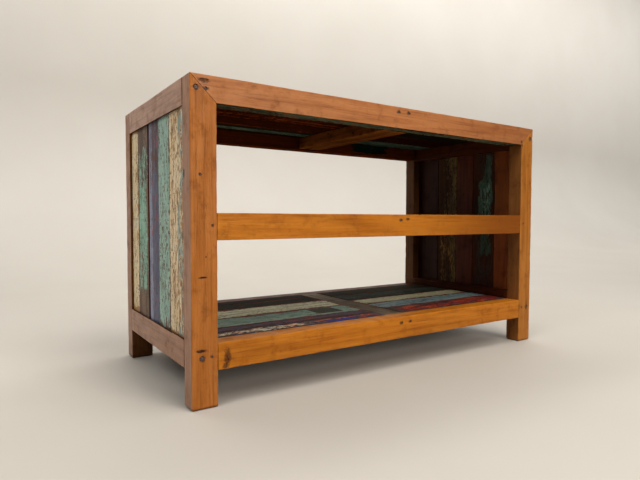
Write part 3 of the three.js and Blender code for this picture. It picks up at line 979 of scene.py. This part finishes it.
# %% Make the short rails
for side, (label, outward) in enumerate((("left", "-X"), ("right", "+X"))):
    for node, seed, section, others in (
        (f"top_{label}_rail", 41, top_side_section, {outward: side_top_oil, "+Z": rail_top_oil}),
        (f"bottom_{label}_rail", 43, bottom_side_section, {outward: side_oil}),
        (f"middle_{label}_bearer", 45, bearer_section, {}),
    ):
        make(node, "Y", seed + side, inner_shade, others, section(node), between_rails)
for seed, (level, finish) in enumerate(
        (("top", beam_oil), ("middle", grey_cross), ("bottom", grey_cross)), start=51):
    node = f"{level}_cross_rail"
    make(node, "Y", seed, finish, {}, cross_section(node), between_rails)
tell("short rails:")

# %% [markdown]
# ## Planks and boards
#
# The planks stand upright in the sides and the boards lie along the stand. Each one came off a
# boat with its own history, so each has its own paint, its own wear and its own seed. One shared
# finish would be shorter to write, but the patchwork of unlike boards is what makes the stand.

# %% Left side, outer faces, front to back
GREY_WOOD = ((166, 142, 122), (84, 62, 50))
BROWN_WOOD = ((168, 142, 120), (92, 68, 56))
left_paints = [
    painted("cream_plank", "Z", 1.1, GREY_WOOD, [
        coat((196, 142, 66), (170, 116, 54), 0.90, worn=0.02),
        coat((242, 222, 186), (232, 202, 150), 0.84, (15, 46), z=(0.135, 0.6, 0.02), worn=0.08),
        coat((150, 176, 168), (126, 152, 148), 0.50, (9, 90), y=(-0.182, -0.150, 0.014)),
        coat((186, 128, 60), (152, 98, 48), 0.36, (40, 130)),
    ], chips=0.24),
    painted("green_plank", "Z", 2.2, BROWN_WOOD, [
        coat((112, 88, 66), (84, 60, 46), 0.6),
        coat((168, 202, 186), (138, 174, 160), 0.82, (14, 50),
             y=(-0.096, -0.020, 0.01), z=(0.14, 0.58, 0.05), worn=0.08),
    ], chips=0.50),
    painted("slate_plank", "Z", 3.3, BROWN_WOOD, [
        coat((186, 78, 48), (140, 58, 42), 0.60, worn=0.05),
        coat((96, 100, 126), (76, 80, 106), 0.88, (8, 40), y=(-0.016, 0.07, 0.016), worn=0.06),
        # painted highlight: this pale lavender band stands for light caught along the back half of
        # the crowned face.
        coat((150, 154, 180), (120, 126, 158), 0.88, (3, 40), y=(0.030, 0.060, 0.018)),
        coat((186, 78, 48), (156, 62, 42), 0.42, (14, 60),
             y=(-0.022, -0.004, 0.010), z=(0.28, 0.36, 0.05)),
        coat((186, 78, 48), (150, 60, 42), 0.20, (26, 120)),
        coat((96, 58, 52), (72, 46, 44), 0.47, (14, 90), z=(0.44, 0.56, 0.08)),
    ], chips=0.16),
    painted("teal_plank", "Z", 4.4, BROWN_WOOD, [
        coat((160, 146, 120), (120, 100, 80), 0.5, z=(0.20, 0.48, 0.05)),
        coat((152, 200, 178), (126, 178, 154), 0.70, (11, 46), z=(0.20, 0.48, 0.07), worn=0.10),
        coat((78, 54, 44), (58, 40, 34), 0.46, (34, 130), z=(0.44, 0.56, 0.08)),
    ], chips=0.42),
    painted("yellow_plank", "Z", 5.5, GREY_WOOD, [
        coat((198, 146, 70), (172, 118, 58), 0.9, worn=0.03),
        coat((244, 226, 190), (230, 202, 150), 0.84, (16, 46), z=(0.14, 0.54, 0.02), worn=0.08),
        coat((160, 178, 166), (140, 158, 152), 0.16, (30, 100)),
    ], chips=0.26),
]
CROWNS = (0.0006, 0.0010, 0.0034, 0.0008, 0.0006)  # how far each outer face is rounded over
for number, (finish, crown) in enumerate(zip(left_paints, CROWNS), start=1):
    inside = oiled(f"left_plank_{number}_inside", "Z", 0.9 * number, SHADE_WOOD, shine=0.12)
    make(f"left_plank_{number}", "Z", 60 + number, inside, {"-X": finish},
         arris=0.0016, rub=2.0, crown=(0, -1, crown))
tell("left planks:")

# %% Right side, inner and outer faces, front to back
DARK_WOOD = ((104, 62, 40), (44, 22, 14))
right_inner = [
    oiled("orange_brown_inside", "Z", 9.1, ((164, 84, 24), (128, 58, 14), (70, 28, 8)), shine=0.15),
    painted("patched_inside", "Z", 9.7, ((96, 48, 24), (50, 24, 14)), [
        coat((66, 40, 26), (48, 27, 18), 0.55),
        coat((74, 98, 80), (54, 74, 62), 0.60, (13, 50),
             y=(-0.112, -0.090, 0.012), z=(0.28, 0.53, 0.04)),
        # partly painted shade and light: this darker coat lies just below the middle shelf, and the
        # two lighter coats after it just above, where light falls over the shelf.
        coat((58, 84, 68), (44, 64, 52), 0.62, (24, 60),
             y=(-0.112, -0.078, 0.012), z=(0.245, 0.33, 0.03)),
        coat((90, 122, 100), (64, 90, 74), 0.70, (20, 50),
             y=(-0.112, -0.070, 0.014), z=(0.34, 0.45, 0.05)),
        coat((140, 180, 162), (108, 146, 126), 0.42, (40, 120),
             y=(-0.110, -0.074, 0.012), z=(0.36, 0.44, 0.05)),
        coat((142, 96, 76), (112, 70, 54), 0.30, (20, 80),
             y=(-0.120, -0.10, 0.012), z=(0.28, 0.38, 0.05)),
    ], chips=0.40, shine=0.2),
    oiled("red_brown_inside", "Z", 10.3, ((112, 46, 20), (80, 28, 12), (42, 14, 8)),
          pale=0.2, shine=0.12),
    painted("olive_inside", "Z", 10.9, ((92, 58, 32), (48, 26, 14)), [
        coat((122, 98, 42), (88, 62, 28), 0.55, (5, 40), y=(0.022, 0.062, 0.04), worn=-0.10),
        coat((150, 108, 40), (112, 74, 26), 0.34, (12, 60),
             y=(0.022, 0.10, 0.03), z=(0.14, 0.30, 0.04)),
    ], chips=0.3, shine=0.2),
    oiled("dark_brown_inside", "Z", 11.5, ((66, 32, 18), (50, 22, 12), (30, 12, 6)),
          pale=0.2, shine=0.1),
]
right_outer = [
    painted("brown_outside", "Z", 12.1, BROWN_WOOD, [
        coat((226, 208, 172), (204, 178, 136), 0.46, (18, 60)),
    ]),
    painted("green_outside", "Z", 12.7, BROWN_WOOD, [
        coat((120, 172, 140), (98, 146, 122), 0.80, (12, 40)),
    ], chips=0.4),
    painted("red_outside", "Z", 13.3, GREY_WOOD, [
        coat((206, 190, 160), (180, 160, 130), 0.8),
        coat((148, 66, 50), (118, 52, 42), 0.76, (12, 46)),
    ]),
    painted("olive_outside", "Z", 13.9, GREY_WOOD, [
        coat((170, 160, 96), (140, 128, 72), 0.78, (9, 36)),
    ], chips=0.36),
    painted("blue_outside", "Z", 14.5, BROWN_WOOD, [
        coat((116, 130, 152), (92, 104, 130), 0.62, (16, 56)),
    ]),
]
for number, (inside, outer) in enumerate(zip(right_inner, right_outer), start=1):
    make(f"right_plank_{number}", "Z", 70 + number, inside, {"+X": outer}, arris=0.0016, rub=2.0)
tell("right planks:")

# %% [markdown]
# ## The bottom shelf
#
# The shelf shows the most colour: flecked boards at the front edge, then slate, sea green and
# cream, and nearly black ones at the back. All boards could share one finish with a random
# colour, but each real board lost its paint in its own way, so each has its own list of coats.

# %% Laying boards
def lay(level, seed, bays):
    """Lays a level's boards, front to back: each bay is a row of (finish, other finishes)."""
    for bay, (label, row) in enumerate(zip(("left", "right"), bays)):
        for number, (finish, others) in enumerate(row, start=1):
            node = f"{level}_{label}_board_{number}"
            make(node, "X", seed + 10 * bay + number, finish, others, arris=0.0013, rub=1.8)
    tell(f"{level} boards:")


def oiled_beneath(row):
    """The finishes in row, each with shaded oil on its board's underside."""
    return [(finish, {"-Z": shade_oil}) for finish in row]


# %% Bottom shelf boards, front to back
DULL = dict(gloss=0.75, shine=0.04)


def shelf_paint(name, shift, wood, coats, chips=0.16, gloss=0.6, shine=0.12):
    """Paint on a shelf board, duller than on the sides."""
    return painted(name, "X", shift, wood, coats, chips, gloss, shine)


shelf_left = [
    shelf_paint("flecked_board", 15.1, DARK_WOOD, [
        coat((52, 52, 70), (38, 36, 48), 0.80, (8, 60), worn=0.05),
        coat((110, 152, 142), (78, 108, 104), 0.42, (40, 180), x=(-0.46, -0.18, 0.05)),
        coat((196, 78, 44), (156, 50, 34), 0.42, (26, 140), x=(-0.42, 0.0, 0.05)),
        coat((255, 236, 196), (240, 204, 148), 0.47, (60, 220), x=(-0.46, -0.24, 0.06)),
        coat((206, 104, 56), (170, 72, 42), 0.62, (14, 70),
             x=(-0.190, -0.060, 0.03), y=(-0.166, -0.156, 0.008)),
        coat((34, 50, 140), (32, 42, 110), 0.94, (6, 30),
             x=(-0.165, -0.095, 0.03), y=(-0.19, -0.170, 0.006)),
    ], chips=0.20),
    shelf_paint("purple_board", 15.7, DARK_WOOD, [
        coat((80, 66, 84), (58, 46, 62), 0.85, (6, 50)),
        coat((140, 60, 44), (108, 42, 34), 0.34, (8, 100)),
    ]),
    shelf_paint("sea_green_board", 16.3, ((112, 74, 54), (50, 30, 22)), [
        coat((126, 60, 46), (100, 48, 38), 0.9, worn=0.0),
        coat((142, 176, 156), (116, 146, 132), 0.93, (6, 40), worn=0.22),
        coat((164, 172, 154), (146, 158, 140), 0.30, (5, 120)),
        coat((62, 68, 52), (50, 54, 42), 0.98, (6, 30),
             x=(-0.130, -0.065, 0.008), y=(-0.088, -0.032, 0.006)),
    ]),
    shelf_paint("cream_board", 16.9, ((112, 74, 54), (50, 30, 22)), [
        coat((134, 72, 52), (106, 54, 42), 0.92, worn=0.0),
        coat((240, 240, 204), (214, 210, 172), 0.93, (6, 44), worn=0.26),
        coat((172, 162, 136), (152, 142, 118), 0.30, (6, 120)),
    ]),
    shelf_paint("olive_board", 17.5, DARK_WOOD, [
        coat((100, 54, 38), (74, 40, 30), 0.85, worn=0.0),
        coat((44, 46, 34), (32, 33, 26), 0.86, (6, 40), worn=0.2),
    ], chips=0.18, **DULL),
    shelf_paint("black_board", 18.1, DARK_WOOD, [
        coat((30, 24, 20), (20, 17, 15), 0.85, (6, 40)),
        coat((46, 50, 50), (34, 38, 38), 0.30, (6, 80)),
    ], **DULL),
]
shelf_right = [
    shelf_paint("red_board", 18.7, DARK_WOOD, [
        coat((72, 62, 58), (52, 44, 44), 0.8, worn=0.0),
        coat((136, 38, 26), (98, 30, 26), 0.62, (8, 60), x=(0.085, 0.44, 0.06)),
        coat((216, 90, 44), (180, 60, 32), 0.46, (24, 130), x=(0.10, 0.40, 0.05)),
        coat((48, 52, 104), (40, 40, 74), 0.26, (14, 90), x=(0.12, 0.42, 0.04)),
    ], chips=0.20),
    shelf_paint("pale_blue_board", 19.3, DARK_WOOD, [
        coat((122, 62, 46), (94, 48, 38), 0.9, worn=0.0),
        coat((138, 164, 164), (112, 136, 138), 0.93, (6, 40), worn=0.2),
        coat((82, 100, 112), (70, 84, 94), 0.28, (8, 90)),
    ]),
    shelf_paint("bone_board", 19.9, DARK_WOOD, [
        coat((132, 66, 48), (104, 52, 38), 0.92, worn=0.0),
        coat((216, 214, 172), (188, 184, 144), 0.93, (6, 40), worn=0.26),
    ]),
    shelf_paint("grey_green_board", 20.5, DARK_WOOD, [
        coat((58, 68, 62), (42, 50, 46), 0.88, (7, 40), worn=0.2),
        coat((92, 102, 96), (72, 82, 76), 0.28, (5, 90)),
    ], chips=0.18, **DULL),
    shelf_paint("moss_board", 21.1, DARK_WOOD, [
        coat((40, 38, 26), (28, 26, 19), 0.85, (6, 40)),
    ], **DULL),
]
lay("bottom", 80, (oiled_beneath(shelf_left), oiled_beneath(shelf_right)))

# %% [markdown]
# ## The top and the middle shelf
#
# Seen from below, the top boards are dark with old bilge paint, drawn darker still as painted
# shade under the top. Their upper faces were sanded lightly, so the colours there are clean but
# thin. The middle shelf hides behind its front rail, so it borrows its finishes from the bottom
# shelf.

# %% Undersides of the top boards, front to back: four in the left bay, then four in the right
# The bare wood and dark coats of the undersides are partly painted shade: drawn much darker than the
# same boards' upper faces, under the top.
UNDER_SHADED_WOOD = ((76, 38, 18), (30, 14, 8))


def under_paint(name, shift, coats):
    """Old paint on an underside, too dull to mirror the pale floor."""
    return painted(name, "X", shift, UNDER_SHADED_WOOD, coats, gloss=0.85, shine=0.0)


top_under = [
    under_paint("under_olive_1", 22.1, [
        coat((44, 42, 26), (34, 30, 20), 0.72, (6, 40)),
        coat((86, 94, 76), (64, 72, 58), 0.80, (5, 60), y=(-0.20, -0.150, 0.012)),
    ]),
    under_paint("under_red_brown", 22.5, [
        coat((74, 30, 12), (54, 21, 9), 0.80, (6, 40)),
        coat((160, 74, 24), (118, 50, 16), 0.40, (5, 90)),
    ]),
    under_paint("under_rust", 22.9, [
        coat((76, 30, 12), (56, 22, 10), 0.8, (6, 40)),
        coat((140, 72, 26), (104, 48, 18), 0.50, (6, 60), y=(0.092, 0.11, 0.012)),
    ]),
    under_paint("under_dark_green", 23.3, [
        coat((40, 54, 40), (30, 40, 32), 0.85, (6, 40), y=(0.10, 0.160, 0.01)),
        coat((104, 120, 100), (78, 92, 78), 0.70, (4, 40), y=(0.130, 0.156, 0.008)),
    ]),
    under_paint("under_olive_3", 23.7, [
        coat((34, 30, 18), (26, 22, 14), 0.75, (6, 40)),
    ]),
    under_paint("under_olive_4", 24.1, [
        coat((34, 32, 20), (24, 21, 15), 0.75, (6, 40)),
    ]),
    under_paint("under_maroon", 24.5, [
        coat((50, 20, 12), (36, 14, 9), 0.8, (6, 40)),
        coat((130, 66, 26), (96, 44, 16), 0.40, (6, 60), y=(0.10, 0.12, 0.010)),
    ]),
    under_paint("under_sea_green", 24.9, [
        coat((76, 94, 78), (56, 70, 60), 0.8, (6, 40)),
    ]),
]

# %% Their upper faces, in the same order
top_upper = [
    painted("upper_slate", "X", 25.1, GREY_WOOD, [
        coat((182, 100, 70), (160, 84, 60), 0.6),
        coat((112, 122, 150), (92, 98, 130), 0.80, (9, 40)),
    ]),
    painted("upper_olive", "X", 25.5, GREY_WOOD, [
        coat((146, 146, 92), (118, 116, 72), 0.78, (9, 40)),
    ]),
    painted("upper_red", "X", 25.9, GREY_WOOD, [
        coat((220, 200, 160), (196, 170, 130), 0.8),
        coat((164, 64, 46), (134, 50, 40), 0.76, (8, 36)),
    ]),
    painted("upper_teal", "X", 26.3, BROWN_WOOD, [
        coat((216, 196, 150), (190, 166, 120), 0.6),
        coat((112, 168, 150), (92, 146, 132), 0.78, (9, 40)),
    ], chips=0.4),
    painted("upper_cream", "X", 26.7, GREY_WOOD, [
        coat((206, 152, 76), (186, 130, 66), 0.8),
        coat((242, 226, 188), (226, 200, 150), 0.82, (9, 40)),
    ]),
    painted("upper_green", "X", 27.1, BROWN_WOOD, [
        coat((128, 178, 150), (104, 152, 128), 0.80, (9, 40)),
    ], chips=0.4),
    painted("upper_brown", "X", 27.5, BROWN_WOOD, [
        coat((206, 184, 140), (176, 150, 108), 0.36, (10, 40)),
    ]),
    painted("upper_sea", "X", 27.9, BROWN_WOOD, [
        coat((72, 96, 140), (62, 80, 120), 0.6),
        coat((120, 172, 168), (98, 148, 148), 0.74, (9, 40)),
    ]),
]
top_faces = [(under, {"+Z": upper}) for under, upper in zip(top_under, top_upper)]
lay("top", 100, (top_faces[:4], top_faces[4:]))

# %% Middle shelf boards
middle_left = (shelf_left[1], shelf_left[3], shade_oil)
middle_right = (shelf_left[2], shade_oil, shelf_left[4])
lay("middle", 120, (oiled_beneath(middle_left), oiled_beneath(middle_right)))

# %% [markdown]
# ## Camera, floor and light
#
# The camera stands left of the stand, a little below its middle shelf, and looks almost level
# with a moderately wide lens, so the near corner leans out and the far end shrinks. The floor is
# one sheet that sweeps up into a wall, so that no corner shows behind the stand. Soft lights from
# the front and above keep the front rails bright and leave the bays dark, and a long strip of
# light washes the wall.

# %% Camera
camera_data = bpy.data.cameras.new("camera")
camera = add_object("camera", camera_data)
camera_data.sensor_width = 36.0
camera_data.lens = 28.58
camera_data.clip_start = 0.01
camera.location = (-0.8099, -1.0965, 0.3465)
LOOKS_DOWN, LEANS, TURNED = 2.44, -0.13, -33.97  # in degrees
camera.rotation_euler = [math.radians(angle) for angle in (90 - LOOKS_DOWN, LEANS, TURNED)]
bpy.context.scene.camera = camera
print("the camera stands", round(camera.location.length, 2), "m from the stand's middle")

# %% Floor and backdrop
# The floor runs away from the stand and turns up into a pale wall in one wide sweep.
sweep = bpy.data.meshes.new("sweep")
turn, bend, ceiling, reach = 1.7, 1.3, 5.5, 16.0
profile = [(-reach, 0.0)]
profile += [(turn + bend * math.sin(a), bend - bend * math.cos(a))
            for a in np.linspace(0, math.pi / 2, 17)]
profile.append((turn + bend, ceiling))
rows = [(x, y, z) for x in (-reach, reach) for y, z in profile]
count = len(profile)
sweep.from_pydata(rows, [], [(i, i + count, i + count + 1, i + 1) for i in range(count - 1)])
sweep.shade_smooth()
floor = add_object("sweep", sweep)
floor_finish, tree = start_finish("pale_floor")
place, _, _ = grain_space(tree, "X", 0.0)
mottled = blend(tree, noise(tree, place, 1.6, 4.0), rgb(192, 186, 176), rgb(182, 175, 164))
FLOOR_ROUGH = 0.62
FLOOR_RELIEF = 0.0001
end_finish(tree, floor_finish, mottled, FLOOR_ROUGH, noise(tree, place, 600.0, 2.0), FLOOR_RELIEF)
sweep.materials.append(floor_finish)
floor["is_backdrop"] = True

# %% Lights
world = bpy.data.worlds.new("studio")
bpy.context.scene.world = world
world.use_nodes = True
sky = world.node_tree.nodes["Background"]
sky.inputs["Color"].default_value = (0.86, 0.92, 1.0, 1)
sky.inputs["Strength"].default_value = 0.06


def softbox(name, place, target, size, power, colour=(1, 1, 1)):
    data = bpy.data.lights.new(name, "AREA")
    data.shape = "RECTANGLE"
    data.size, data.size_y = size
    data.energy = power
    data.color = colour
    lamp = add_object(name, data)
    lamp.location = place
    lamp.rotation_euler = (Vector(target) - Vector(place)).to_track_quat("-Z", "Y").to_euler()


softbox("ceiling", (0.0, -0.7, 2.6), (0.0, -0.2, 0), (0.9, 0.9), 26, (1.0, 0.97, 0.92))
softbox("front", (0.0, -2.0, 2.5), (0, 0, 0.3), (1.2, 1.2), 26, (1.0, 0.96, 0.91))
softbox("window", (0.55, -3.3, 1.3), (0, 0, 0.3), (1.6, 1.0), 62, (1.0, 0.96, 0.91))
softbox("side", (-2.2, -0.9, 2.4), (-0.4, 0, 0.3), (1.2, 1.2), 27)
softbox("wall_wash", (5.0, 0.8, 4.2), (5.4, 3.0, 1.2), (16.0, 1.0), 500)
print("lights:", *bpy.data.lights.keys())
bpy.context.scene.view_settings.view_transform = "Standard"

# %% Sizes
low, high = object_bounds()
